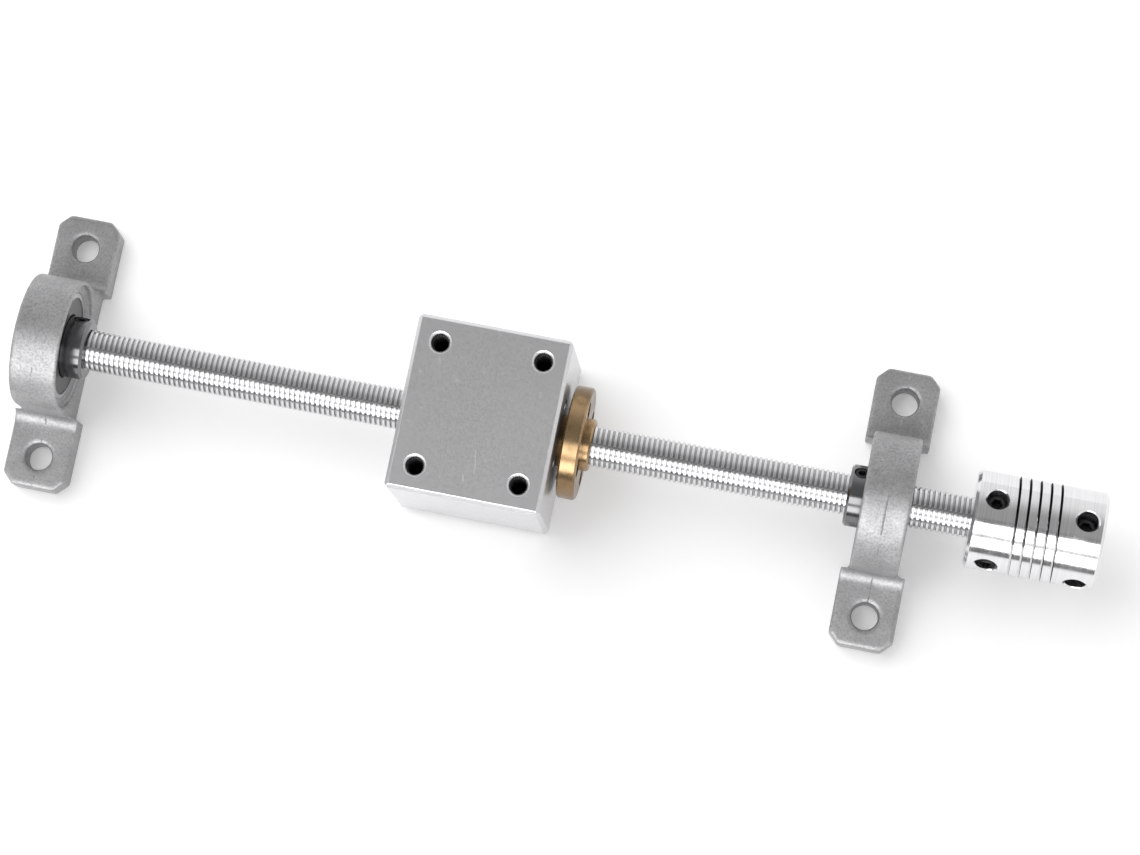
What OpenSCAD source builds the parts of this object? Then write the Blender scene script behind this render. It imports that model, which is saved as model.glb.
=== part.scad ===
// Lead screw drive: a trapezoidal screw in two pillow blocks, with a nut block,
// a flanged brass nut and a helical flexible coupling.
// X runs along the screw towards the coupling and Z is up. The origin is the
// centre of the four foot holes, on the plane that the feet stand on.
// All sizes are in millimetres.

/* [Layout] */
// Distance between the centres of the two pillow blocks
block_spacing = 165; // [130:1:168]
// Height of the screw axis over the feet
axis_height = 15; // [15:0.5:18]
// Place of the nut block's centre along the screw, from the middle
nut_block_x = 4; // [-40:0.5:30]
// Reach of the screw past the middle of the left bearing
screw_overhang = 6.5; // [5:0.5:12]
// Distance from the middle of the right bearing to the coupling
coupling_offset = 16.2; // [13:0.1:30]
// Depth that the screw reaches into the coupling
screw_grip = 12.3; // [8:0.1:13]

/* [Pillow block housing] */
// Distance between the two foot holes
foot_hole_spacing = 42.5; // [40:0.5:50]
// Distance from a foot hole's centre to the end of the foot
foot_hole_margin = 6.25; // [5:0.25:9]
// Diameter of a foot hole
foot_hole_d = 5.2; // [4:0.1:5.6]
// Bevel round the mouth of a foot hole
foot_hole_lip = 0.45; // [0.2:0.05:0.6]
// Width of a foot along the screw
foot_width = 12.6; // [12:0.1:15]
// Thickness of a foot
foot_thickness = 5; // [4:0.5:7]
// Bevel along the top edges of a foot
foot_edge = 0.4; // [0.2:0.1:0.8]
// How far a foot runs in past the outside of the arch
foot_inset = 0.2; // [0.1:0.1:1]
// Cut on the outer corners of a foot
foot_corner = 2.2; // [1:0.1:3]
// Wall of the arch round the bearing
arch_wall = 2; // [1.6:0.1:4]
// Width of the arch along the screw
arch_width = 9.5; // [9:0.1:11.5]
// Radius of the fillet where the arch meets a foot
arch_fillet = 2.2; // [0.8:0.1:2.5]
// Bevel along the rims of the arch
arch_edge = 0.4; // [0.2:0.1:0.7]
// Width of the rim that is left round the relief at each face
relief_rim = 0.9; // [0.8:0.1:1.4]
// Depth of that relief
relief_depth = 1.1; // [0.4:0.1:1.2]

/* [Insert bearing] */
// Wall of the outer ring behind its raceway
ring_wall = 1.41; // [1.2:0.01:1.8]
// Width of the outer ring
ring_width = 7; // [6.6:0.1:7.4]
// Wall of the inner ring and its collar
collar_wall = 1.98; // [1.8:0.01:2.5]
// Reach of the collar from the middle of the bearing
collar_reach = 7.6; // [7.2:0.1:9.5]
// Bevel on the free end of the collar
collar_edge = 0.5; // [0.2:0.1:0.7]
// Number of balls
ball_count = 7; // [6:1:8]
// Diameter of a ball
ball_d = 3.97; // [3.9:0.01:4.1]
// Depth of the raceway in the inner ring
inner_race_depth = 0.4; // [0.2:0.05:0.6]
// Depth of the raceway in the outer ring
outer_race_depth = 0.3; // [0.2:0.05:0.5]
// Radius of a raceway as a multiple of a ball's radius
race_conformity = 1.04; // [1.02:0.01:1.08]
// Thickness of the cage band
cage_band = 1; // [0.6:0.1:1.2]
// Width of the cage
cage_width = 5.2; // [4.8:0.1:5.6]
// Thickness of a shield
shield_thickness = 0.25; // [0.2:0.05:0.35]
// Depth of a shield below the ring's face
shield_depth = 0.2; // [0.1:0.05:0.3]
// Depth of the step that a shield sits in
shield_step = 0.3; // [0.2:0.05:0.4]
// Gap between a shield and the inner ring
shield_gap = 0.3; // [0.2:0.05:0.5]

/* [Collar set screws] */
// Diameter of a collar set screw
collar_screw_d = 3; // [2.5:0.1:3]
// Length of a collar set screw
collar_screw_length = 1.8; // [1.4:0.1:2]
// Distance of the set screws from the middle of the bearing
collar_screw_x = 5.5; // [5.2:0.1:6.2]
// Key size of the hexagon socket
collar_screw_key = 1.5; // [1.2:0.1:1.5]
// Angle between the two set screws
collar_screw_spread = 120; // [90:5:180]
// Turn of the left pair from straight up, towards the far side
left_collar_turn = 62; // [0:1:360]
// Turn of the right pair from straight up, towards the far side
right_collar_turn = 42; // [0:1:360]

/* [Lead screw] */
// Outside diameter over the thread
screw_d = 8; // [7:0.1:8.4]
// Bevel on both ends of the screw
screw_edge = 0.6; // [0.3:0.1:1]

/* [Nut block] */
// Length along the screw
nut_block_length = 30; // [26:1:40]
// Width across the screw
nut_block_width = 34; // [32:1:44]
// Height over all
nut_block_height = 28; // [27:0.5:29]
// Bevel along its edges
nut_block_edge = 0.7; // [0.2:0.1:1]
// Distance between the top holes along the screw
top_hole_x = 20; // [14:1:20]
// Distance between the top holes across the screw
top_hole_y = 24; // [22:1:25]
// Diameter of a top hole inside its thread
top_hole_d = 3.4; // [2.5:0.1:5]
// Depth of a top hole
top_hole_depth = 15; // [8:1:18]
// Bevel round the mouth of a top hole
top_hole_lip = 0.45; // [0.2:0.05:0.5]
// Diameter of a hole in the face, for the flange screws
face_hole_d = 2.5; // [2:0.1:3]
// Depth of a hole in the face
face_hole_depth = 9; // [5:1:12]
// Bevel round the mouth of a hole in the face
face_hole_lip = 0.25; // [0.1:0.05:0.4]

/* [Nut] */
// Rim of the flange outside its circle of holes
flange_rim = 3; // [2.5:0.1:4]
// Thickness of the flange
flange_thickness = 3.5; // [3:0.1:5]
// Bevel on the rims of the flange
flange_edge = 0.35; // [0.1:0.05:0.6]
// Wall of the nut's round body and boss
nut_wall = 1.05; // [0.9:0.05:1.6]
// Length of the body that sits in the block
nut_body_length = 10; // [8:0.5:14]
// Length of the boss on the other side of the flange
nut_boss_length = 1.5; // [1:0.1:3]
// Distance from the nut's body to the centres of the flange holes
flange_hole_out = 2.9; // [2.4:0.1:4]
// Diameter of a flange hole
flange_hole_d = 3.5; // [3:0.1:3.6]
// Gap between the flange and the block
flange_gap = 1.2; // [0.3:0.1:3]

/* [Coupling] */
// Outside diameter
coupling_d = 19; // [18:0.5:20]
// Bevel on both ends
coupling_edge = 0.6; // [0.2:0.1:1]
// Length of a solid hub at each end
hub_length = 7; // [6.6:0.1:9]
// Diameter of the bore for the motor shaft
motor_bore_d = 5; // [4:0.1:6.35]
// How much wider than the screw's bore the hollow between the hubs is, all round
hollow_step = 0.48; // [0.3:0.02:1]
// Solid stretch between a hub and the slit
slit_margin = 0.5; // [0.3:0.1:1]
// Axial pitch of the helical slit
slit_pitch = 2; // [1.6:0.1:2]
// Turns of the helical slit
slit_turns = 5; // [3:0.5:5]
// Width of the slit along the axis
slit_width = 0.5; // [0.3:0.05:0.7]
// Turn of the slit's start from the far side
slit_start_turn = -36; // [-180:1:180]
// Diameter of a hub set screw
hub_screw_d = 4; // [3:0.5:4]
// Length of a hub set screw
hub_screw_length = 3.2; // [2.6:0.1:4.5]
// Key size of its hexagon socket
hub_screw_key = 2; // [1.5:0.1:2]
// Bevel round the mouth of its hole
hub_hole_lip = 0.4; // [0.1:0.05:0.5]
// Distance of the set screws from the screw-side end
screw_side_screw_x = 4.2; // [3.4:0.1:4.4]
// Distance of the set screws from the motor-side end
motor_side_screw_x = 3.6; // [3.2:0.1:4.4]
// Turn of the screw-side pair from straight up, towards the far side
screw_side_turn = 20; // [0:1:360]
// Turn of the motor-side pair from straight up, towards the far side
motor_side_turn = 14; // [0:1:360]
// Angle between the two set screws of a hub
hub_screw_spread = -90; // [-120:5:-60]

/* [Fits] */
// Clearance all round between a shaft and what it turns or slides in
shaft_fit = 0.02; // [0.01:0.005:0.04]
// Clearance all round between the thread and the nut
nut_fit = 0.05; // [0.02:0.01:0.1]
// Clearance all round between the nut's body and the block
body_fit = 0.03; // [0.01:0.01:0.1]
// Clearance round the outer ring in its ball-shaped seat
seat_fit = 0.02; // [0.01:0.005:0.05]
// Clearance between a ball and a raceway
ball_fit = 0.01; // [0.005:0.005:0.02]
// Clearance between a ball and its pocket in the cage
pocket_fit = 0.05; // [0.02:0.01:0.1]
// Clearance round a set screw and under its tip
thread_fit = 0.02; // [0.01:0.005:0.05]
// Clearance round a shield in its step
shield_fit = 0.02; // [0.01:0.005:0.05]

/* [Hidden] */
$fn = 96;
// Extra length of a cutter past the face that it cuts
over = 1;
screw_bore_d = screw_d + 2 * shaft_fit;
left_x = -block_spacing / 2;
right_x = block_spacing / 2;
screw_start_x = left_x - screw_overhang;
coupling_x = right_x + coupling_offset;
screw_length = coupling_x + screw_grip - screw_start_x;
collar_d = screw_bore_d + 2 * collar_wall;
race_radius = race_conformity * ball_d / 2;
inner_race_floor = collar_d / 2 - inner_race_depth;
ball_circle_r = inner_race_floor + ball_fit + ball_d / 2;
outer_race_floor = ball_circle_r + ball_d / 2 + ball_fit;
outer_land_d = 2 * (outer_race_floor - outer_race_depth);
ring_d = 2 * (outer_race_floor + ring_wall);
arch_radius = ring_d / 2 + arch_wall;
relief_r = arch_radius - relief_rim;
foot_length = foot_hole_spacing + 2 * foot_hole_margin;
foot_inner_y = arch_radius - foot_inset;
shield_outer_d = outer_land_d + 2 * shield_step;
shield_inner_d = collar_d + 2 * shield_gap;
shield_face = ring_width / 2 - shield_depth;
shield_seat_depth = shield_depth + shield_thickness + shield_fit;
nut_bore_d = screw_d + 2 * nut_fit;
nut_body_d = nut_bore_d + 2 * nut_wall;
flange_circle_r = nut_body_d / 2 + flange_hole_out;
flange_r = flange_circle_r + flange_rim;
block_bore_d = nut_body_d + 2 * body_fit;
flange_x = nut_block_x + nut_block_length / 2 + flange_gap;
slit_length = slit_turns * slit_pitch;
hollow_length = slit_length + 2 * slit_margin;
hollow_d = screw_bore_d + 2 * hollow_step;
coupling_length = hollow_length + 2 * hub_length;
motor_screw_x = coupling_length - motor_side_screw_x;
steel = [0.62, 0.63, 0.65];
bright_steel = [0.74, 0.75, 0.77];
zinc = [0.66, 0.67, 0.68];
aluminium = [0.78, 0.79, 0.80];
brass = [0.80, 0.66, 0.36];
dark_steel = [0.18, 0.18, 0.19];
// Steps of the slit cutter in one turn
slit_steps = 24;

// Places
module on_axis(x) {
    translate([x, 0, axis_height]) children();
}

// Turns what stands along Z so that it lies along X
module along_x() {
    rotate([0, 90, 0]) children();
}

module left_bearing() {
    on_axis(left_x) children();
}

module right_bearing() {
    on_axis(right_x) mirror([1, 0, 0]) children();
}

// Points outwards from the axis at a turn from straight up towards the far side
module pointing(turn) {
    rotate([-turn, 0, 0]) children();
}

module bevelled_rectangle(length, width, edge) {
    x = length / 2;
    y = width / 2;
    polygon([
        [-x + edge, -y], [x - edge, -y], [x, -y + edge], [x, y - edge],
        [x - edge, y], [-x + edge, y], [-x, y - edge], [-x, -y + edge]
    ]);
}

// Housing
module arch_outline() {
    translate([0, axis_height]) circle(r = arch_radius);
    translate([-arch_radius, 0]) square([2 * arch_radius, axis_height]);
}

// Outlines for this lie in the plane across the screw
module across(width) {
    rotate([90, 0, 90]) translate([0, 0, -width / 2]) linear_extrude(width) children();
}

module arch() {
    difference() {
        intersection() {
            across(arch_width) arch_outline();
            linear_extrude(axis_height + arch_radius)
                bevelled_rectangle(arch_width, 2 * arch_radius, arch_edge);
        }
        for (side = [-1, 1]) arch_rim_cut(side);
    }
}

// Bevel along the round rim of the arch, on one of its two faces
module arch_rim_cut(side) {
    bevel_r = arch_radius - arch_edge;
    translate([side * (arch_width / 2 - arch_edge), 0, axis_height])
        rotate([0, side * 90, 0])
            intersection() {
                difference() {
                    cylinder(r = arch_radius + over, h = arch_edge + over);
                    translate([0, 0, -over])
                        cylinder(r1 = arch_radius + over, r2 = bevel_r - over,
                                 h = 2 * over + arch_edge);
                }
                translate([-side * (arch_radius + over), 0, 0])
                    cube(2 * (arch_radius + over), center = true);
            }
}

module foot_outline() {
    half = foot_width / 2;
    outer = foot_length / 2;
    polygon([
        [-half, foot_inner_y], [half, foot_inner_y], [half, outer - foot_corner],
        [half - foot_corner, outer], [-half + foot_corner, outer],
        [-half, outer - foot_corner]
    ]);
}

// Side view of a foot, with the bevel along its outer end
module foot_side() {
    outer = foot_length / 2;
    polygon([
        [0, 0], [outer, 0], [outer, foot_thickness - foot_edge],
        [outer - foot_edge, foot_thickness], [0, foot_thickness]
    ]);
}

// End view of a foot, with the bevels along its sides
module foot_end() {
    half = foot_width / 2;
    polygon([
        [-half, 0], [half, 0], [half, foot_thickness - foot_edge],
        [half - foot_edge, foot_thickness], [-half + foot_edge, foot_thickness],
        [-half, foot_thickness - foot_edge]
    ]);
}

module foot_plate() {
    intersection() {
        linear_extrude(foot_thickness) foot_outline();
        across(foot_width) foot_side();
        translate([0, foot_length, 0]) rotate([90, 0, 0])
            linear_extrude(foot_length) foot_end();
    }
}

// Hollow-sided ramp over the whole width of the foot, up to the wall of the arch
module foot_ramp() {
    top = foot_thickness + arch_fillet;
    across(foot_width) difference() {
        translate([foot_inner_y, 0])
            square([arch_radius + arch_fillet - foot_inner_y, top]);
        translate([arch_radius + arch_fillet, top]) circle(r = arch_fillet);
    }
}

module foot() {
    foot_plate();
    foot_ramp();
}

module foot_hole() {
    translate([0, foot_hole_spacing / 2, 0]) {
        translate([0, 0, -over]) cylinder(d = foot_hole_d, h = foot_thickness + 2 * over);
        translate([0, 0, foot_thickness - foot_hole_lip])
            cylinder(d1 = foot_hole_d, d2 = foot_hole_d + 2 * (foot_hole_lip + over),
                     h = foot_hole_lip + over);
    }
}

// Ball-shaped seat with a shallow relief at each face
module bearing_seat() {
    seat_r = ring_d / 2 + seat_fit;
    face = arch_width / 2;
    along_x() rotate_extrude() {
        intersection() {
            circle(r = seat_r);
            translate([0, -face]) square([seat_r + over, arch_width]);
        }
        translate([0, face - relief_depth]) square([relief_r, relief_depth + over]);
        translate([0, -face - over]) square([relief_r, relief_depth + over]);
    }
}

module housing() {
    color(zinc) difference() {
        union() {
            arch();
            foot();
            mirror([0, 1, 0]) foot();
        }
        foot_hole();
        mirror([0, 1, 0]) foot_hole();
        translate([0, 0, axis_height]) bearing_seat();
    }
}

// Insert bearing, with its collar towards plus X
module race_groove(centre_r) {
    translate([centre_r, 0]) circle(r = race_radius);
}

module outer_ring() {
    color(steel) along_x() rotate_extrude() difference() {
        intersection() {
            circle(d = ring_d);
            translate([outer_land_d / 2, -ring_width / 2])
                square([ring_d, ring_width]);
        }
        race_groove(outer_race_floor - race_radius);
        for (side = [-1, 1])
            translate([0, side * (ring_width / 2 + (over - shield_seat_depth) / 2)])
                square([shield_outer_d + 2 * shield_fit, shield_seat_depth + over],
                       center = true);
    }
}

module inner_ring(turn) {
    back = ring_width / 2;
    inner = screw_bore_d / 2;
    outer = collar_d / 2;
    color(bright_steel) difference() {
        along_x() rotate_extrude() difference() {
            polygon([
                [inner, -back], [outer, -back], [outer, collar_reach - collar_edge],
                [outer - collar_edge, collar_reach], [inner, collar_reach]
            ]);
            race_groove(inner_race_floor + race_radius);
        }
        for (pair = [0, 1])
            translate([collar_screw_x, 0, 0])
                pointing(turn + pair * collar_screw_spread)
                    cylinder(d = collar_screw_d + 2 * thread_fit, h = collar_d);
    }
}

module balls() {
    color(bright_steel) for (i = [0:ball_count - 1])
        pointing(i * 360 / ball_count)
            translate([0, 0, ball_circle_r]) sphere(d = ball_d);
}

module cage() {
    color(steel) difference() {
        along_x() translate([0, 0, -cage_width / 2]) difference() {
            cylinder(r = ball_circle_r + cage_band / 2, h = cage_width);
            translate([0, 0, -over])
                cylinder(r = ball_circle_r - cage_band / 2, h = cage_width + 2 * over);
        }
        for (i = [0:ball_count - 1])
            pointing(i * 360 / ball_count)
                translate([0, 0, ball_circle_r]) sphere(d = ball_d + 2 * pocket_fit);
    }
}

module shield(side) {
    color(steel) translate([side * (shield_face - shield_thickness / 2), 0, 0])
        along_x() difference() {
            cylinder(d = shield_outer_d, h = shield_thickness, center = true);
            cylinder(d = shield_inner_d, h = shield_thickness + over, center = true);
        }
}

// Headless set screw with its tip at the origin and its socket upwards
module set_screw(d, length, key) {
    socket = key / cos(30);
    edge = d / 10;
    color(dark_steel) difference() {
        rotate_extrude() polygon([
            [0, 0], [d / 2 - edge, 0], [d / 2, edge], [d / 2, length - edge],
            [d / 2 - edge, length], [0, length]
        ]);
        translate([0, 0, length / 2]) cylinder(d = socket, h = length, $fn = 6);
    }
}

module collar_screws(turn) {
    for (pair = [0, 1])
        translate([collar_screw_x, 0, 0])
            pointing(turn + pair * collar_screw_spread)
                translate([0, 0, screw_d / 2 + thread_fit])
                    set_screw(collar_screw_d, collar_screw_length, collar_screw_key);
}

// Lead screw
module lead_screw() {
    color(bright_steel) on_axis(screw_start_x) along_x() rotate_extrude() polygon([
        [0, 0], [screw_d / 2 - screw_edge, 0], [screw_d / 2, screw_edge],
        [screw_d / 2, screw_length - screw_edge],
        [screw_d / 2 - screw_edge, screw_length], [0, screw_length]
    ]);
}

// Nut block
module bevelled_block(size, edge) {
    intersection() {
        translate([0, 0, -size.z / 2]) linear_extrude(size.z)
            bevelled_rectangle(size.x, size.y, edge);
        rotate([90, 0, 0]) translate([0, 0, -size.y / 2]) linear_extrude(size.y)
            bevelled_rectangle(size.x, size.z, edge);
        rotate([90, 0, 90]) translate([0, 0, -size.x / 2]) linear_extrude(size.x)
            bevelled_rectangle(size.y, size.z, edge);
    }
}

// Drilled hole that goes down from the origin, with a bevelled mouth
module tapped_hole(d, depth, lip) {
    tip = d / 4;
    rotate_extrude() polygon([
        [0, -depth - tip], [d / 2, -depth], [d / 2, -lip],
        [d / 2 + lip + over, over], [0, over]
    ]);
}

module flange_places() {
    for (i = [0:3]) pointing(45 + i * 90) translate([0, 0, flange_circle_r]) children();
}

module nut_block() {
    size = [nut_block_length, nut_block_width, nut_block_height];
    color(aluminium) on_axis(nut_block_x) difference() {
        bevelled_block(size, nut_block_edge);
        along_x() cylinder(d = block_bore_d, h = size.x + 2 * over, center = true);
        for (x = [-1, 1], y = [-1, 1])
            translate([x * top_hole_x / 2, y * top_hole_y / 2, size.z / 2])
                tapped_hole(top_hole_d, top_hole_depth, top_hole_lip);
        translate([size.x / 2, 0, 0]) flange_places()
            along_x() tapped_hole(face_hole_d, face_hole_depth, face_hole_lip);
    }
}

// Flanged nut, with its flange towards the coupling
module brass_nut() {
    bore = nut_bore_d / 2;
    body = nut_body_d / 2;
    rim = flange_r;
    edge = flange_edge;
    length = flange_thickness + nut_boss_length;
    color(brass) on_axis(flange_x) difference() {
        along_x() rotate_extrude() polygon([
            [bore + edge, -nut_body_length], [body - edge, -nut_body_length],
            [body, -nut_body_length + edge], [body, 0],
            [rim - edge, 0], [rim, edge], [rim, flange_thickness - edge],
            [rim - edge, flange_thickness], [body, flange_thickness],
            [body, length - edge], [body - edge, length],
            [bore + edge, length], [bore, length - edge], [bore, -nut_body_length + edge]
        ]);
        flange_places() along_x() cylinder(d = flange_hole_d, h = 3 * flange_thickness,
                                           center = true);
    }
}

// Coupling, along X from its screw-side end
function slit_point(turn, x, r) = [x, r * cos(turn), r * sin(turn)];

// Helical band that cuts the slit: one ring of four corners for each step
module slit_cutter() {
    steps = slit_turns * slit_steps;
    start = hub_length + slit_margin;
    inner = (screw_bore_d + hollow_d) / 4;
    outer = coupling_d / 2 + over;
    corners = [
        for (i = [0:steps])
            let (turn = slit_start_turn + i * 360 / slit_steps,
                 x = start + i * slit_pitch / slit_steps)
                for (c = [[-1, inner], [1, inner], [1, outer], [-1, outer]])
                    slit_point(turn, x + c[0] * slit_width / 2, c[1])
    ];
    sides = [
        for (i = [0:steps - 1], k = [0:3])
            let (a = 4 * i + k, b = 4 * i + (k + 1) % 4)
                each [[a, a + 4, b + 4], [a, b + 4, b]]
    ];
    last = 4 * steps;
    polyhedron(corners, concat(sides, [[0, 1, 2, 3], [last + 3, last + 2, last + 1, last]]));
}

module hub_screw_places(x, turn) {
    for (pair = [0, 1])
        translate([x, 0, 0]) pointing(turn + pair * hub_screw_spread) children();
}

module hub_screw_hole() {
    r = hub_screw_d / 2 + thread_fit;
    mouth = coupling_d / 2;
    rotate_extrude() polygon([
        [0, 0], [r, 0], [r, mouth - hub_hole_lip],
        [r + hub_hole_lip + over, mouth + over], [0, mouth + over]
    ]);
}

module coupling() {
    edge = coupling_edge;
    r = coupling_d / 2;
    color(aluminium) on_axis(coupling_x) difference() {
        along_x() rotate_extrude() polygon([
            [0, 0], [r - edge, 0], [r, edge], [r, coupling_length - edge],
            [r - edge, coupling_length], [0, coupling_length]
        ]);
        along_x() translate([0, 0, -over])
            cylinder(d = screw_bore_d, h = hub_length + 2 * over);
        along_x() translate([0, 0, hub_length])
            cylinder(d = hollow_d, h = hollow_length);
        along_x() translate([0, 0, coupling_length - hub_length - over])
            cylinder(d = motor_bore_d, h = hub_length + 2 * over);
        hub_screw_places(screw_side_screw_x, screw_side_turn) hub_screw_hole();
        hub_screw_places(motor_screw_x, motor_side_turn) hub_screw_hole();
        slit_cutter();
    }
}

module hub_screws(x, turn, shaft_d) {
    on_axis(coupling_x) hub_screw_places(x, turn)
        translate([0, 0, shaft_d / 2 + 2 * thread_fit])
            set_screw(hub_screw_d, hub_screw_length, hub_screw_key);
}

translate([left_x, 0, 0]) housing();  // left_housing
left_bearing() outer_ring();  // left_outer_ring
left_bearing() inner_ring(left_collar_turn);  // left_inner_ring
left_bearing() balls();  // left_balls
left_bearing() cage();  // left_cage
left_bearing() shield(1);  // left_collar_shield
left_bearing() shield(-1);  // left_end_shield
left_bearing() collar_screws(left_collar_turn);  // left_set_screws
translate([right_x, 0, 0]) housing();  // right_housing
right_bearing() outer_ring();  // right_outer_ring
right_bearing() inner_ring(right_collar_turn);  // right_inner_ring
right_bearing() balls();  // right_balls
right_bearing() cage();  // right_cage
right_bearing() shield(1);  // right_collar_shield
right_bearing() shield(-1);  // right_end_shield
right_bearing() collar_screws(right_collar_turn);  // right_set_screws
lead_screw();
nut_block();
brass_nut();
coupling();
hub_screws(screw_side_screw_x, screw_side_turn, screw_d);  // screw_side_set_screws
hub_screws(motor_screw_x, motor_side_turn, motor_bore_d);  // motor_side_set_screws
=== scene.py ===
"""A trapezoidal lead screw drive: threaded screw, two pillow blocks, nut block, brass nut and flexible coupling."""
import math

import bmesh
import bpy
from mathutils import Matrix, Vector


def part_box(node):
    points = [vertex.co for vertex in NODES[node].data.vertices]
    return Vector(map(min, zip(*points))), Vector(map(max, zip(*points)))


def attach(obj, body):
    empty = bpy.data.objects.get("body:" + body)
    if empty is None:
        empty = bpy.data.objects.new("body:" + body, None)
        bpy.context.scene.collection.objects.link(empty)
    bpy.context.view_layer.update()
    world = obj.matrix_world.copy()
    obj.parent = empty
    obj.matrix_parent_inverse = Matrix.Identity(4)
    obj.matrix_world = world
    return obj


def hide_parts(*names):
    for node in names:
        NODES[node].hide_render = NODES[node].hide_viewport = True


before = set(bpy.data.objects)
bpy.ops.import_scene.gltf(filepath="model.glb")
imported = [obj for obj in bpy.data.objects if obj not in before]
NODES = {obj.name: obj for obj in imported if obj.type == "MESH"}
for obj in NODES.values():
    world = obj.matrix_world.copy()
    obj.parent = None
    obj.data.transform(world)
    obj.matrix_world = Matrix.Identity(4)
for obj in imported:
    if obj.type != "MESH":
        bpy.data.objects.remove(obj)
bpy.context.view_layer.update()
MM = 0.001
SIDES = ("left", "right")

# Camera: where it stands (m), its turn (rotation vector) and its focal length in pixels
CAMERA_PLACE = (0.07877, -0.09465, 0.67770)
CAMERA_TURN = (-0.1535, 0.0731, 0.1937)
FOCAL_PX = 3493
WIDTH_PX = 1140
SENSOR_MM = 36

# A face larger than this meets its neighbours at a hard edge from this angle on
FLAT_AREA = 12 * MM * MM
FLAT_ANGLE = math.radians(8)

# Screw thread: pitch, depth, and the shares of the pitch that the root and the crest take
PITCH = 1.0 * MM
THREAD_DEPTH = 0.36 * MM
ROOT_SHARE = 0.34
CREST_SHARE = 0.48
CREST_ROUND = 0.02
THREAD_STEPS = 64

# Castings: voxel size, passes of smoothing, and the ball-shaped seat that stays true
CAST_VOXEL = 0.3 * MM
CAST_PASSES = 6
SEAT_R = 11.03 * MM
SEAT_HALF = 3.6 * MM

# Coupling: half the length that the slit takes, and how deep its walls begin
SLIT_ZONE = 7 * MM
SLIT_SKIN = 0.12 * MM

# Scratches on the nut block: place along the screw, and where they begin and end across it
SCRATCHES = ((5.4 * MM, -11.6 * MM, -7.0 * MM), (3.6 * MM, -13.2 * MM, -11.8 * MM))

# Top holes of the nut block and the threads in them
TOP_HOLE_X = 10 * MM
TOP_HOLE_Y = 12 * MM
TOP_HOLE_R = 1.7 * MM
TAP_PITCH = 0.7 * MM
TAP_DEPTH = 0.2 * MM
TAP_START = 0.5 * MM
TAP_LENGTH = 9 * MM
TAP_STEPS = 32

# How much white the floor adds for what the camera and the gloss see
FLOOR_GLOW = 0.21


def centre(node):
    low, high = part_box(node)
    return (low + high) / 2


AXIS_Z = centre("lead_screw").z


class Shader:
    """A material's node tree with short calls for the nodes used here."""

    def __init__(self, name):
        self.mat = bpy.data.materials.new(name)
        self.mat.use_nodes = True
        self.tree = self.mat.node_tree
        self.bsdf = self.tree.nodes["Principled BSDF"]
        self.coords = self.tree.nodes.new("ShaderNodeTexCoord").outputs["Object"]

    def link(self, a, b):
        self.tree.links.new(a, b)

    def node(self, kind, **values):
        n = self.tree.nodes.new(kind)
        for key, value in values.items():
            setattr(n, key, value)
        return n

    def scaled(self, scale):
        n = self.node("ShaderNodeVectorMath", operation="MULTIPLY")
        self.link(self.coords, n.inputs[0])
        n.inputs[1].default_value = scale
        return n.outputs[0]

    def parts(self, vector=None):
        n = self.node("ShaderNodeSeparateXYZ")
        self.link(self.coords if vector is None else vector, n.inputs[0])
        return n.outputs

    def around_axis(self, along, across):
        """Coordinates that change along the screw and with the distance from its axis, for turned surfaces."""
        shift = self.node("ShaderNodeVectorMath", operation="SUBTRACT")
        self.link(self.coords, shift.inputs[0])
        shift.inputs[1].default_value = (0, 0, AXIS_Z)
        parts = self.parts(shift.outputs[0])
        flat = self.node("ShaderNodeCombineXYZ")
        self.link(parts["Y"], flat.inputs["X"])
        self.link(parts["Z"], flat.inputs["Y"])
        radius = self.node("ShaderNodeVectorMath", operation="LENGTH")
        self.link(flat.outputs[0], radius.inputs[0])
        out = self.node("ShaderNodeCombineXYZ")
        self.link(parts["X"], out.inputs["X"])
        self.link(radius.outputs["Value"], out.inputs["Y"])
        scale = self.node("ShaderNodeVectorMath", operation="MULTIPLY")
        self.link(out.outputs[0], scale.inputs[0])
        scale.inputs[1].default_value = (along, across, 0)
        return scale.outputs[0]

    def noise(self, vector, scale, detail=4, rough=0.6):
        n = self.node("ShaderNodeTexNoise")
        self.link(vector, n.inputs["Vector"])
        n.inputs["Scale"].default_value = scale
        n.inputs["Detail"].default_value = detail
        n.inputs["Roughness"].default_value = rough
        return n.outputs["Fac"]

    def spread(self, value, low, high, into_low, into_high):
        n = self.node("ShaderNodeMapRange")
        self.link(value, n.inputs["Value"])
        for socket, number in zip(("From Min", "From Max", "To Min", "To Max"), (low, high, into_low, into_high)):
            n.inputs[socket].default_value = number
        return n.outputs["Result"]

    def math(self, operation, a, b=0.0):
        n = self.node("ShaderNodeMath", operation=operation)
        for socket, value in zip(n.inputs, (a, b)):
            if isinstance(value, (int, float)):
                socket.default_value = value
            else:
                self.link(value, socket)
        return n.outputs[0]

    def mix(self, factor, a, b):
        n = self.node("ShaderNodeMix", data_type="RGBA")
        self.link(factor, n.inputs[0])
        for socket, value in ((n.inputs[6], a), (n.inputs[7], b)):
            if isinstance(value, tuple):
                socket.default_value = (*value, 1)
            else:
                self.link(value, socket)
        return n.outputs[2]

    def bump(self, height, strength, distance, after=None):
        n = self.node("ShaderNodeBump")
        self.link(height, n.inputs["Height"])
        n.inputs["Strength"].default_value = strength
        n.inputs["Distance"].default_value = distance
        if after is not None:
            self.link(after, n.inputs["Normal"])
        return n.outputs[0]

    def finish(self, colour=None, roughness=None, normal=None, **sockets):
        if colour is not None:
            self.link(colour, self.bsdf.inputs["Base Color"])
        if roughness is not None:
            self.link(roughness, self.bsdf.inputs["Roughness"])
        if normal is not None:
            self.link(normal, self.bsdf.inputs["Normal"])
        for key, value in sockets.items():
            self.bsdf.inputs[key.replace("_", " ")].default_value = value
        return self.mat


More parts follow.
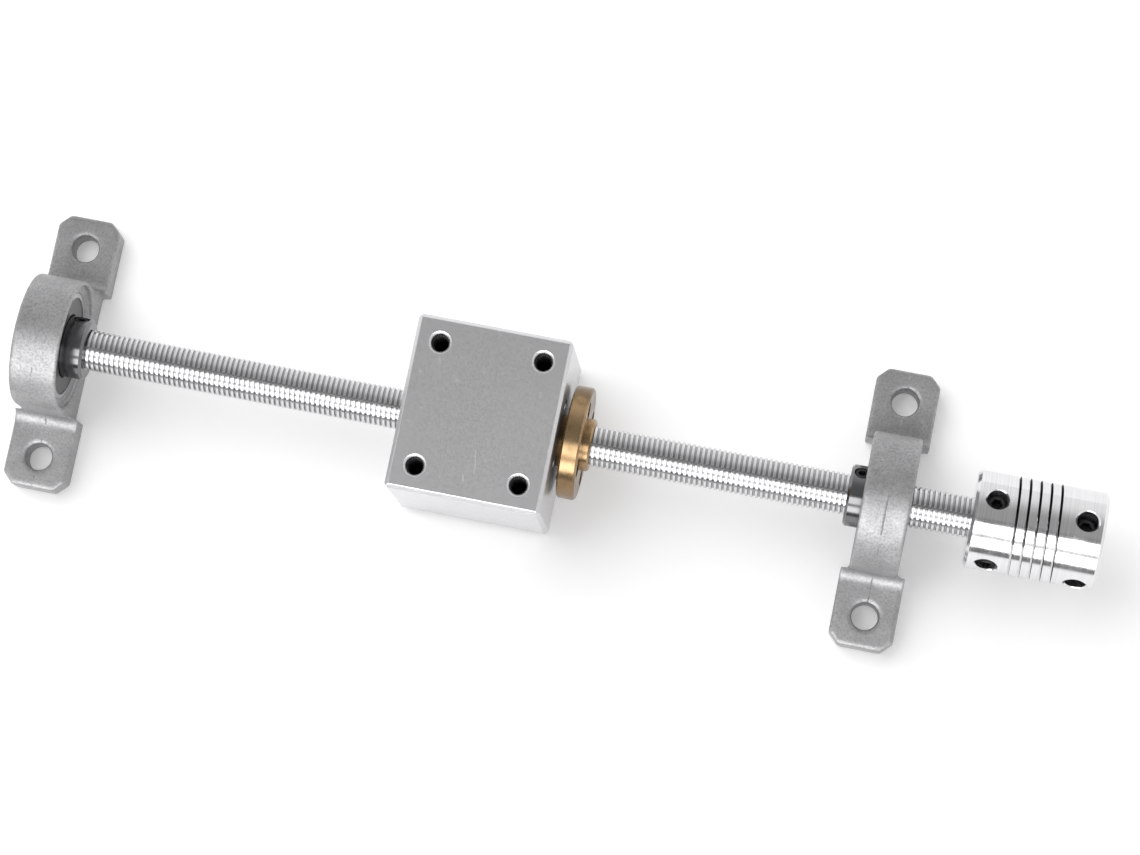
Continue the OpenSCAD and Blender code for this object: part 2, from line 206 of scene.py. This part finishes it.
# Materials
def cast_zinc():
    s = Shader("cast_zinc")
    everywhere = s.scaled((1, 1, 1))
    blotch = s.noise(everywhere, 160, 4)
    grain = s.noise(everywhere, 2200, 6, 0.7)
    pits = s.noise(everywhere, 700, 3, 0.5)
    colour = s.mix(s.spread(blotch, 0.35, 0.65, 0, 1), (0.36, 0.36, 0.365), (0.44, 0.44, 0.445))
    colour = s.mix(s.spread(grain, 0.45, 0.62, 0, 0.6), colour, (0.23, 0.23, 0.235))
    colour = s.mix(s.spread(pits, 0.62, 0.8, 0, 0.6), colour, (0.55, 0.55, 0.56))
    # Line that the two halves of the mould leave, in the middle plane of each pillow block
    parts = s.parts()
    off_plane = s.math("ABSOLUTE", s.math("SUBTRACT", s.math("ABSOLUTE", parts["X"]), centre("right_housing").x))
    broken = s.noise(s.scaled((0.2, 1, 1)), 320, 2)
    seam = s.math("MULTIPLY", s.spread(off_plane, 0.0, 0.22 * MM, 1, 0), s.spread(broken, 0.45, 0.6, 0, 1))
    bump = s.bump(grain, 0.6, 0.00006)
    bump = s.bump(blotch, 0.3, 0.0003, bump)
    bump = s.bump(seam, 1.0, 0.00012, bump)
    return s.finish(colour, s.spread(grain, 0.3, 0.7, 0.44, 0.57), bump, Metallic=0.95)


def turned(name, dark, light, rough, bump=0.12, metallic=1.0):
    s = Shader(name)
    lines = s.noise(s.around_axis(9000, 9000), 1, 2, 0.5)
    patch = s.noise(s.scaled((1, 1, 1)), 260, 3)
    colour = s.mix(s.spread(lines, 0.3, 0.7, 0, 1), dark, light)
    roughness = s.math("ADD", s.spread(patch, 0.3, 0.7, rough - 0.04, rough + 0.06),
                       s.spread(lines, 0.3, 0.7, -0.03, 0.03))
    return s.finish(colour, roughness, s.bump(lines, bump, 0.00002), Metallic=metallic)


def thread_steel():
    """Turned steel, darker in the bottom of the thread: partly oil and dust that stay there, partly painted shade of
    the groove.
    """
    s = Shader("screw_steel")
    depth = s.parts(s.around_axis(1, 1))["Y"]
    lines = s.noise(s.around_axis(9000, 9000), 1, 2, 0.5)
    patch = s.noise(s.scaled((1, 1, 1)), 260, 3)
    crest = s.mix(s.spread(lines, 0.3, 0.7, 0, 1), (0.60, 0.60, 0.61), (0.72, 0.72, 0.73))
    root = s.mix(s.spread(patch, 0.3, 0.7, 0, 1), (0.29, 0.29, 0.295), (0.35, 0.35, 0.355))
    outer = (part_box("lead_screw")[1].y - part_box("lead_screw")[0].y) / 2
    # Root colour: oil and dust, and painted shade of the groove
    colour = s.mix(s.spread(depth, outer - 0.3 * MM, outer - 0.08 * MM, 0, 1), root, crest)
    roughness = s.spread(patch, 0.3, 0.7, 0.17, 0.25)
    return s.finish(colour, roughness, s.bump(lines, 0.08, 0.00002), Metallic=1.0)


def milled_block():
    s = Shader("milled_block")
    everywhere = s.scaled((1, 1, 1))
    haze = s.noise(everywhere, 45, 3)
    speck = s.noise(everywhere, 1800, 5, 0.7)
    nick = s.noise(everywhere, 420, 5, 0.65)
    colour = s.mix(s.spread(haze, 0.35, 0.65, 0, 1), (0.66, 0.66, 0.67), (0.69, 0.69, 0.70))
    colour = s.mix(s.spread(nick, 0.64, 0.72, 0, 1), colour, (0.82, 0.82, 0.83))
    colour = s.mix(s.spread(speck, 0.52, 0.66, 0, 0.6), colour, (0.60, 0.60, 0.61))
    # Two short scratches on the top
    parts = s.parts()
    waver = s.spread(s.noise(everywhere, 600, 2), 0.3, 0.7, -0.12 * MM, 0.12 * MM)
    for x, low, high in SCRATCHES:
        lean = s.math("MULTIPLY", s.math("SUBTRACT", parts["Y"], low), -0.12)
        off = s.math("ABSOLUTE", s.math("SUBTRACT", s.math("ADD", parts["X"], waver), s.math("ADD", lean, x)))
        inside = s.math("MULTIPLY", s.math("GREATER_THAN", parts["Y"], low), s.math("LESS_THAN", parts["Y"], high))
        line = s.math("MULTIPLY", inside, s.spread(off, 0.06 * MM, 0.16 * MM, 0.8, 0))
        colour = s.mix(line, colour, (0.88, 0.88, 0.89))
    bump = s.bump(speck, 0.2, 0.00002)
    return s.finish(colour, s.spread(speck, 0.3, 0.7, 0.28, 0.38), bump, Metallic=1.0)


def painted_recess_shade():
    # Painted shade: a near-black steel for the walls of the tapped holes, the threads in them and the coupling's slit
    # walls, in place of the shade inside these recesses
    s = Shader("painted_recess_shade")
    patch = s.noise(s.scaled((1, 1, 1)), 1800, 4)
    colour = s.mix(s.spread(patch, 0.3, 0.7, 0, 1), (0.10, 0.10, 0.10), (0.18, 0.18, 0.18))
    return s.finish(colour, s.spread(patch, 0.3, 0.7, 0.4, 0.6), s.bump(patch, 0.2, 0.00002), Metallic=0.9)


def bronze_brass():
    s = Shader("nut_brass")
    lines = s.noise(s.around_axis(7000, 7000), 1, 2, 0.5)
    stain = s.noise(s.scaled((1, 1, 1)), 380, 4)
    dots = s.noise(s.scaled((1, 1, 1)), 1500, 3)
    colour = s.mix(s.spread(lines, 0.3, 0.7, 0, 1), (0.34, 0.23, 0.125), (0.40, 0.275, 0.155))
    colour = s.mix(s.spread(stain, 0.45, 0.75, 0, 0.7), colour, (0.21, 0.13, 0.062))
    # Painted dark reflection on the flange's rim towards its two sides, more on the far one
    uneven = s.spread(stain, 0.3, 0.7, -0.8 * MM, 0.8 * MM)
    for side, amount in ((1, 0.72), (-1, 0.45)):
        outward = s.math("ADD", s.math("MULTIPLY", s.parts()["Y"], side), uneven)
        colour = s.mix(s.spread(outward, 6.4 * MM, 8.2 * MM, 0, amount), colour, (0.10, 0.062, 0.030))
    roughness = s.math("ADD", s.spread(stain, 0.3, 0.7, 0.2, 0.3), s.spread(dots, 0.3, 0.7, -0.03, 0.03))
    return s.finish(colour, roughness, s.bump(lines, 0.15, 0.00003), Metallic=1.0)


def shaded_brass():
    # Painted shade: near-black brass for the nut's face towards the block, its body there and its screw holes, so that
    # they and their reflection in the block look shaded
    s = Shader("shaded_brass")
    stain = s.noise(s.scaled((1, 1, 1)), 500, 4)
    colour = s.mix(s.spread(stain, 0.3, 0.7, 0, 1), (0.07, 0.045, 0.022), (0.13, 0.08, 0.04))
    return s.finish(colour, s.spread(stain, 0.3, 0.7, 0.35, 0.5), s.bump(stain, 0.1, 0.00003), Metallic=1.0)


def shield_steel():
    # Painted shade: the shields' steel is darkened well below its own tone, for the shade they sit in inside the
    # housing
    s = Shader("shield_steel")
    patch = s.noise(s.scaled((1, 1, 1)), 900, 4)
    colour = s.mix(s.spread(patch, 0.3, 0.7, 0, 1), (0.11, 0.11, 0.11), (0.17, 0.17, 0.17))
    return s.finish(colour, s.spread(patch, 0.3, 0.7, 0.35, 0.5), s.bump(patch, 0.1, 0.00002), Metallic=0.9)


def black_oxide():
    s = Shader("black_oxide")
    patch = s.noise(s.scaled((1, 1, 1)), 1400, 4)
    colour = s.mix(s.spread(patch, 0.4, 0.7, 0, 1), (0.010, 0.010, 0.011), (0.028, 0.028, 0.030))
    return s.finish(colour, s.spread(patch, 0.3, 0.7, 0.4, 0.6), s.bump(patch, 0.15, 0.00002), Metallic=0.3)


def dress(obj, material):
    obj.data.materials.clear()
    obj.data.materials.append(material)


# Mesh helpers
def add_object(name, mesh):
    obj = bpy.data.objects.new(name, mesh)
    bpy.context.scene.collection.objects.link(obj)
    return obj


def piece_from(name, verts, faces, body, material, smooth_deg=35):
    mesh = bpy.data.meshes.new(name)
    mesh.from_pydata([tuple(v) for v in verts], [], faces)
    mesh.validate()
    obj = add_object(name, mesh)
    finish_piece(obj, body, material, smooth_deg)
    return obj


def finish_piece(obj, body, material, smooth_deg=35):
    bm = bmesh.new()
    bm.from_mesh(obj.data)
    bmesh.ops.remove_doubles(bm, verts=bm.verts, dist=1e-7)
    bmesh.ops.dissolve_degenerate(bm, edges=bm.edges, dist=1e-8)
    bmesh.ops.recalc_face_normals(bm, faces=bm.faces)
    sharp = math.radians(smooth_deg)
    for face in bm.faces:
        face.smooth = True
    for edge in bm.edges:
        large = max(face.calc_area() for face in edge.link_faces) > FLAT_AREA
        limit = FLAT_ANGLE if large else sharp
        edge.smooth = len(edge.link_faces) == 2 and edge.calc_face_angle(0) < limit
    bm.to_mesh(obj.data)
    bm.free()
    dress(obj, material)
    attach(obj, body)


def apply_modifiers(obj):
    graph = bpy.context.evaluated_depsgraph_get()
    graph.update()
    mesh = bpy.data.meshes.new_from_object(obj.evaluated_get(graph))
    obj.modifiers.clear()
    obj.data = mesh


def copy_of_solid(node, name):
    """A new object with the node's shape, its equal faces joined."""
    obj = add_object(name, NODES[node].data.copy())
    bm = bmesh.new()
    bm.from_mesh(obj.data)
    bmesh.ops.remove_doubles(bm, verts=bm.verts, dist=1e-6)
    bmesh.ops.dissolve_limit(bm, angle_limit=math.radians(0.5), verts=bm.verts, edges=bm.edges)
    bm.to_mesh(obj.data)
    bm.free()
    return obj


# Pillow block castings
def cast_housing(side, material):
    node = side + "_housing"
    obj = copy_of_solid(node, side + "_casting")
    remesh = obj.modifiers.new("remesh", "REMESH")
    remesh.mode = "VOXEL"
    remesh.voxel_size = CAST_VOXEL
    smooth = obj.modifiers.new("smooth", "SMOOTH")
    smooth.factor = 0.5
    smooth.iterations = CAST_PASSES
    apply_modifiers(obj)
    middle = Vector((centre(node).x, 0, AXIS_Z))
    low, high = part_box(node)
    for vertex in obj.data.vertices:
        for axis in range(3):
            vertex.co[axis] = min(max(vertex.co[axis], low[axis]), high[axis])
        away = vertex.co - middle
        if abs(away.x) < SEAT_HALF and abs(away.length - SEAT_R) < CAST_VOXEL:
            vertex.co = middle + away.normalized() * SEAT_R
    finish_piece(obj, "supports", material, 180)
    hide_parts(node)


# Screw
def threaded_screw(material):
    low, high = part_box("lead_screw")
    outer = (high.y - low.y) / 2
    root = outer - THREAD_DEPTH
    end_r = outer - 0.6 * MM
    x0, x1 = low.x, high.x
    flank = (1 - ROOT_SHARE - CREST_SHARE) / 2
    rise = ROOT_SHARE + flank
    # One pitch of the thread: place along the axis as a share of the pitch, and radius
    profile = [(0, root), (ROOT_SHARE, root), (rise - CREST_ROUND / 2, outer - CREST_ROUND * MM),
               (rise + CREST_ROUND, outer), (rise + CREST_SHARE - CREST_ROUND, outer),
               (rise + CREST_SHARE + CREST_ROUND / 2, outer - CREST_ROUND * MM)]
    per = len(profile)
    turns = round((x1 - x0) / PITCH) + 2
    rows = turns * per + 1
    verts, faces = [], []
    for i in range(THREAD_STEPS):
        angle = 2 * math.pi * i / THREAD_STEPS
        cy, cz = math.sin(angle), math.cos(angle)
        for j in range(rows + per):
            share, radius = profile[j % per]
            x = x0 + PITCH * (j // per + share - 1 - i / THREAD_STEPS)
            x = min(max(x, x0), x1)
            radius = min(radius, end_r + (x - x0), end_r + (x1 - x))
            verts.append((x, radius * cy, AXIS_Z + radius * cz))
    width = rows + per
    for i in range(THREAD_STEPS):
        last = i == THREAD_STEPS - 1
        for j in range(rows):
            a, b = i * width + j, i * width + j + 1
            if last:
                c, d = b + per - i * width, a + per - i * width
            else:
                c, d = b + width, a + width
            xs = {round(verts[k][0], 7) for k in (a, b, c, d)}
            if len(xs) > 1:
                faces.append((a, b, c, d))
    for x in (x0, x1):
        centre_vertex = len(verts)
        verts.append((x, 0, AXIS_Z))
        ring = []
        for i in range(THREAD_STEPS):
            angle = 2 * math.pi * i / THREAD_STEPS
            verts.append((x, end_r * math.sin(angle), AXIS_Z + end_r * math.cos(angle)))
            ring.append(len(verts) - 1)
        for i in range(THREAD_STEPS):
            faces.append((centre_vertex, ring[i], ring[(i + 1) % THREAD_STEPS]))
    obj = piece_from("threaded_screw", verts, faces, "screw", material, 30)
    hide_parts("lead_screw")


def second_material(obj, material, chosen):
    """Gives the material to the faces whose middle and normal the test picks."""
    obj.data.materials.append(material)
    for face in obj.data.polygons:
        if chosen(face.center, face.normal):
            face.material_index = 1


def round_normals(obj, beyond):
    """Gives the faces on the outside of a turned piece the normals of the true cylinder."""
    mesh = obj.data
    normals = [Vector(corner.vector) for corner in mesh.corner_normals]
    for face in mesh.polygons:
        corners = [mesh.vertices[mesh.loops[i].vertex_index].co for i in face.loop_indices]
        if abs(face.normal.x) > 0.1 or min(math.hypot(c.y, c.z - AXIS_Z) for c in corners) < beyond:
            continue
        for i, corner in zip(face.loop_indices, corners):
            normals[i] = Vector((0, corner.y, corner.z - AXIS_Z)).normalized()
    mesh.normals_split_custom_set(normals)


# Nut
def flanged_nut(material, dark):
    """The nut, with painted shade on its face towards the block, on its body there and in its screw holes."""
    obj = copy_of_solid("brass_nut", "flanged_nut")
    finish_piece(obj, "carriage", material, 30)
    flange_r = (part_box("brass_nut")[1].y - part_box("brass_nut")[0].y) / 2
    body_r = 0.5 * flange_r

    # Faces that get the painted shade: towards the block, the body near it and the walls of the screw holes
    def painted_shade_face(place, normal):
        off = math.hypot(place.y, place.z - AXIS_Z)
        to_hole = abs(off - 8 * MM) < 1.9 * MM and abs(normal.x) < 0.5
        return normal.x < -0.9 or to_hole or (off < body_r and place.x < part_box("nut_block")[1].x + 1 * MM)

    second_material(obj, dark, painted_shade_face)
    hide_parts("brass_nut")


# Coupling
def slit_coupling(material, dark):
    middle = centre("coupling")
    radius = (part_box("coupling")[1].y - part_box("coupling")[0].y) / 2
    obj = copy_of_solid("coupling", "slit_coupling")
    finish_piece(obj, "screw", material, 30)

    # The slit walls get the painted shade of a narrow gap
    def slit_wall(place, normal):
        off = math.hypot(place.y, place.z - AXIS_Z)
        return abs(place.x - middle.x) < SLIT_ZONE and off < radius - SLIT_SKIN and abs(normal.x) > 0.5

    second_material(obj, dark, slit_wall)
    round_normals(obj, radius - SLIT_SKIN)
    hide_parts("coupling")


# Nut block
def top_holes():
    middle = centre("nut_block")
    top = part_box("nut_block")[1].z
    return [Vector((middle.x + sx * TOP_HOLE_X, sy * TOP_HOLE_Y, top)) for sx in (-1, 1) for sy in (-1, 1)]


def tapped_threads(material):
    """The thread ridges inside the four top holes, one helical strip of three-sided section in each."""
    verts, faces = [], []
    turns = int(TAP_LENGTH / TAP_PITCH)
    for hole in top_holes():
        first = len(verts)
        count = turns * TAP_STEPS + 1
        for i in range(count):
            angle = 2 * math.pi * i / TAP_STEPS
            grow = min(1, i / TAP_STEPS, (count - 1 - i) / TAP_STEPS)
            down = TAP_START + TAP_PITCH * (0.5 + i / TAP_STEPS)
            for share, depth in ((-0.42, -0.04), (0, 1), (0.42, -0.04)):
                r = TOP_HOLE_R - TAP_DEPTH * (depth * grow if depth > 0 else depth)
                z = -down + share * TAP_PITCH
                verts.append(hole + Vector((r * math.cos(angle), r * math.sin(angle), z)))
        for i in range(count - 1):
            a = first + 3 * i
            faces += [(a, a + 1, a + 4, a + 3), (a + 1, a + 2, a + 5, a + 4), (a + 2, a, a + 3, a + 5)]
        faces += [(first, first + 2, first + 1), (first + 3 * count - 3, first + 3 * count - 2, first + 3 * count - 1)]
    # The ridges wear the material passed in, the painted shade of the holes' insides
    piece_from("tapped_threads", verts, faces, "carriage", material, 30)


def bevelled_block(material, dark):
    obj = copy_of_solid("nut_block", "milled_nut_block")
    bevel = obj.modifiers.new("bevel", "BEVEL")
    bevel.width = 0.1 * MM
    bevel.segments = 2
    bevel.limit_method = "ANGLE"
    bevel.angle_limit = math.radians(30)
    apply_modifiers(obj)
    finish_piece(obj, "carriage", material, 40)
    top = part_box("nut_block")[1].z
    holes = top_holes()

    # Hole walls below the lead-in get the painted shade of a deep recess
    def hole_wall(place, normal):
        deep = place.z < top - TAP_START
        return deep and any(math.hypot(place.x - h.x, place.y - h.y) < TOP_HOLE_R + 0.05 * MM for h in holes)

    second_material(obj, dark, hole_wall)
    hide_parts("nut_block")


# Camera, light and floor
def rotation(turn):
    v = Vector(turn)
    return Matrix.Rotation(v.length, 3, v.normalized())


def camera():
    data = bpy.data.cameras.new("camera")
    data.sensor_fit = "HORIZONTAL"
    data.sensor_width = SENSOR_MM
    data.lens = FOCAL_PX / WIDTH_PX * SENSOR_MM
    data.clip_start = 0.01
    obj = add_object("camera", data)
    flip = Matrix(((1, 0, 0), (0, -1, 0), (0, 0, -1)))
    world_to_camera = rotation(CAMERA_TURN) @ flip
    columns = (world_to_camera[0], -world_to_camera[1], -world_to_camera[2])
    turn = Matrix(columns).transposed().to_4x4()
    obj.matrix_world = Matrix.Translation(CAMERA_PLACE) @ turn
    bpy.context.scene.camera = obj


def lamp(name, direction, distance, size, radiance):
    """A flat lamp that faces the object, given by its direction from there and its radiance."""
    data = bpy.data.lights.new(name, "AREA")
    data.shape = "RECTANGLE"
    data.size, data.size_y = size
    data.energy = radiance * math.pi * size[0] * size[1]
    obj = add_object(name, data)
    away = Vector(direction).normalized()
    obj.location = away * distance
    obj.rotation_euler = away.to_track_quat("Z", "Y").to_euler()
    return obj


def strip(name, low_deg, high_deg, radiance, distance=0.7, length=0.9, shift=-0.1):
    """A long lamp over the near side, between two angles from straight up. Only gloss shows it."""
    middle = math.radians((low_deg + high_deg) / 2)
    half = math.radians((high_deg - low_deg) / 2)
    size = (length, 2 * distance * math.tan(half))
    obj = lamp(name, (0, -math.sin(middle), math.cos(middle)), distance, size, radiance)
    obj.location.x = shift
    obj.visible_diffuse = False


def world_light():
    world = bpy.data.worlds.new("studio")
    world.use_nodes = True
    bpy.context.scene.world = world
    tree = world.node_tree
    nodes, links = tree.nodes, tree.links

    def math_node(operation, a, b):
        n = nodes.new("ShaderNodeMath")
        n.operation = operation
        n.use_clamp = True
        for socket, value in zip(n.inputs, (a, b)):
            if isinstance(value, (int, float)):
                socket.default_value = value
            else:
                links.new(value, socket)
        return n.outputs[0]

    def band(value, low, high):
        n = nodes.new("ShaderNodeMapRange")
        n.interpolation_type = "SMOOTHSTEP"
        links.new(value, n.inputs["Value"])
        n.inputs["From Min"].default_value = low
        n.inputs["From Max"].default_value = high
        return n.outputs["Result"]

    coords = nodes.new("ShaderNodeTexCoord")
    parts = nodes.new("ShaderNodeSeparateXYZ")
    links.new(coords.outputs["Generated"], parts.inputs[0])
    ramp = nodes.new("ShaderNodeValToRGB")
    links.new(parts.outputs["Z"], ramp.inputs[0])
    stops = ramp.color_ramp.elements
    grey = ((0.0, 1.0), (0.41, 0.95), (0.62, 0.78), (0.77, 0.54), (0.89, 0.40), (1.0, 0.38))
    stops[0].position, stops[1].position = grey[0][0], grey[-1][0]
    for position, _ in grey[1:-1]:
        stops.new(position)
    for stop, (_, value) in zip(stops, grey):
        stop.color = (value, value, value, 1)
    # Darker stretch low over the near side, and white for what the camera sees of the world
    near = math_node("MULTIPLY", parts.outputs["Y"], -1.0)
    dark = math_node("MULTIPLY", band(near, 0.80, 0.93), band(parts.outputs["Z"], 0.34, 0.30))
    level = math_node("MULTIPLY", dark, 0.8)
    over = math_node("MULTIPLY", band(near, -0.02, 0.12), band(parts.outputs["Z"], 0.86, 0.92))
    above = math_node("MULTIPLY", over, 0.3)
    keep = math_node("SUBTRACT", math_node("SUBTRACT", 1.0, level), above)
    shade = nodes.new("ShaderNodeVectorMath")
    shade.operation = "SCALE"
    links.new(ramp.outputs[0], shade.inputs[0])
    links.new(keep, shade.inputs["Scale"])
    path = nodes.new("ShaderNodeLightPath")
    seen = nodes.new("ShaderNodeMix")
    seen.data_type = "RGBA"
    links.new(path.outputs["Is Camera Ray"], seen.inputs[0])
    links.new(shade.outputs[0], seen.inputs[6])
    seen.inputs[7].default_value = (1, 1, 1, 1)
    links.new(seen.outputs[2], nodes["Background"].inputs["Color"])
    nodes["Background"].inputs["Strength"].default_value = 1.0


def floor_material():
    s = Shader("floor_white")
    patch = s.noise(s.scaled((1, 1, 1)), 30, 3)
    colour = s.mix(s.spread(patch, 0.3, 0.7, 0, 1), (0.89, 0.89, 0.89), (0.90, 0.90, 0.90))
    s.finish(colour, s.spread(patch, 0.3, 0.7, 0.85, 0.9), None, Metallic=0.0)
    path = s.node("ShaderNodeLightPath")
    direct = s.math("MAXIMUM", path.outputs["Is Camera Ray"], path.outputs["Is Glossy Ray"])
    glow = s.node("ShaderNodeEmission")
    s.link(s.math("MULTIPLY", direct, FLOOR_GLOW), glow.inputs["Strength"])
    both = s.node("ShaderNodeAddShader")
    s.link(s.bsdf.outputs[0], both.inputs[0])
    s.link(glow.outputs[0], both.inputs[1])
    s.link(both.outputs[0], s.tree.nodes["Material Output"].inputs["Surface"])
    return s.mat


def studio():
    world_light()
    strip("near_strip_high", 14, 38.5, 3.5)
    strip("near_strip_low", 48.5, 72, 3.5)
    top = lamp("soft_top", (-0.6, 0.4, 1.0), 1.2, (1.2, 1.2), 2.3)
    top.visible_glossy = False
    mesh = bpy.data.meshes.new("floor")
    r = 3.0
    z = -0.05 * MM
    mesh.from_pydata([(-r, -r, z), (r, -r, z), (r, r, z), (-r, r, z)], [], [(0, 1, 2, 3)])
    floor = add_object("floor", mesh)
    dress(floor, floor_material())
    bpy.context.scene.view_settings.view_transform = "Standard"


def main():
    camera()
    studio()
    zinc = cast_zinc()
    ring = turned("ring_steel", (0.42, 0.42, 0.43), (0.55, 0.55, 0.56), 0.28)
    # The collars' steel is darkened well below its own tone: a painted dark reflection of the housing around them
    collar = turned("collar_steel", (0.15, 0.15, 0.155), (0.21, 0.21, 0.215), 0.17)
    ball = turned("ball_steel", (0.70, 0.70, 0.71), (0.75, 0.75, 0.76), 0.1, 0.02)
    cage = turned("cage_steel", (0.40, 0.40, 0.40), (0.50, 0.50, 0.50), 0.35)
    screw = thread_steel()
    alloy = turned("coupling_aluminium", (0.70, 0.70, 0.71), (0.80, 0.80, 0.81), 0.13)
    brass = bronze_brass()
    shield, oxide, block = shield_steel(), black_oxide(), milled_block()
    for side in SIDES:
        cast_housing(side, zinc)
        dress(NODES[side + "_outer_ring"], ring)
        dress(NODES[side + "_inner_ring"], collar)
        dress(NODES[side + "_balls"], ball)
        dress(NODES[side + "_cage"], cage)
        dress(NODES[side + "_collar_shield"], shield)
        dress(NODES[side + "_end_shield"], shield)
        dress(NODES[side + "_set_screws"], oxide)
    for name in ("screw_side_set_screws", "motor_side_set_screws"):
        dress(NODES[name], oxide)
    tapped = painted_recess_shade()
    bevelled_block(block, tapped)
    tapped_threads(tapped)
    slit_coupling(alloy, tapped)
    flanged_nut(brass, shaded_brass())
    threaded_screw(screw)


main()
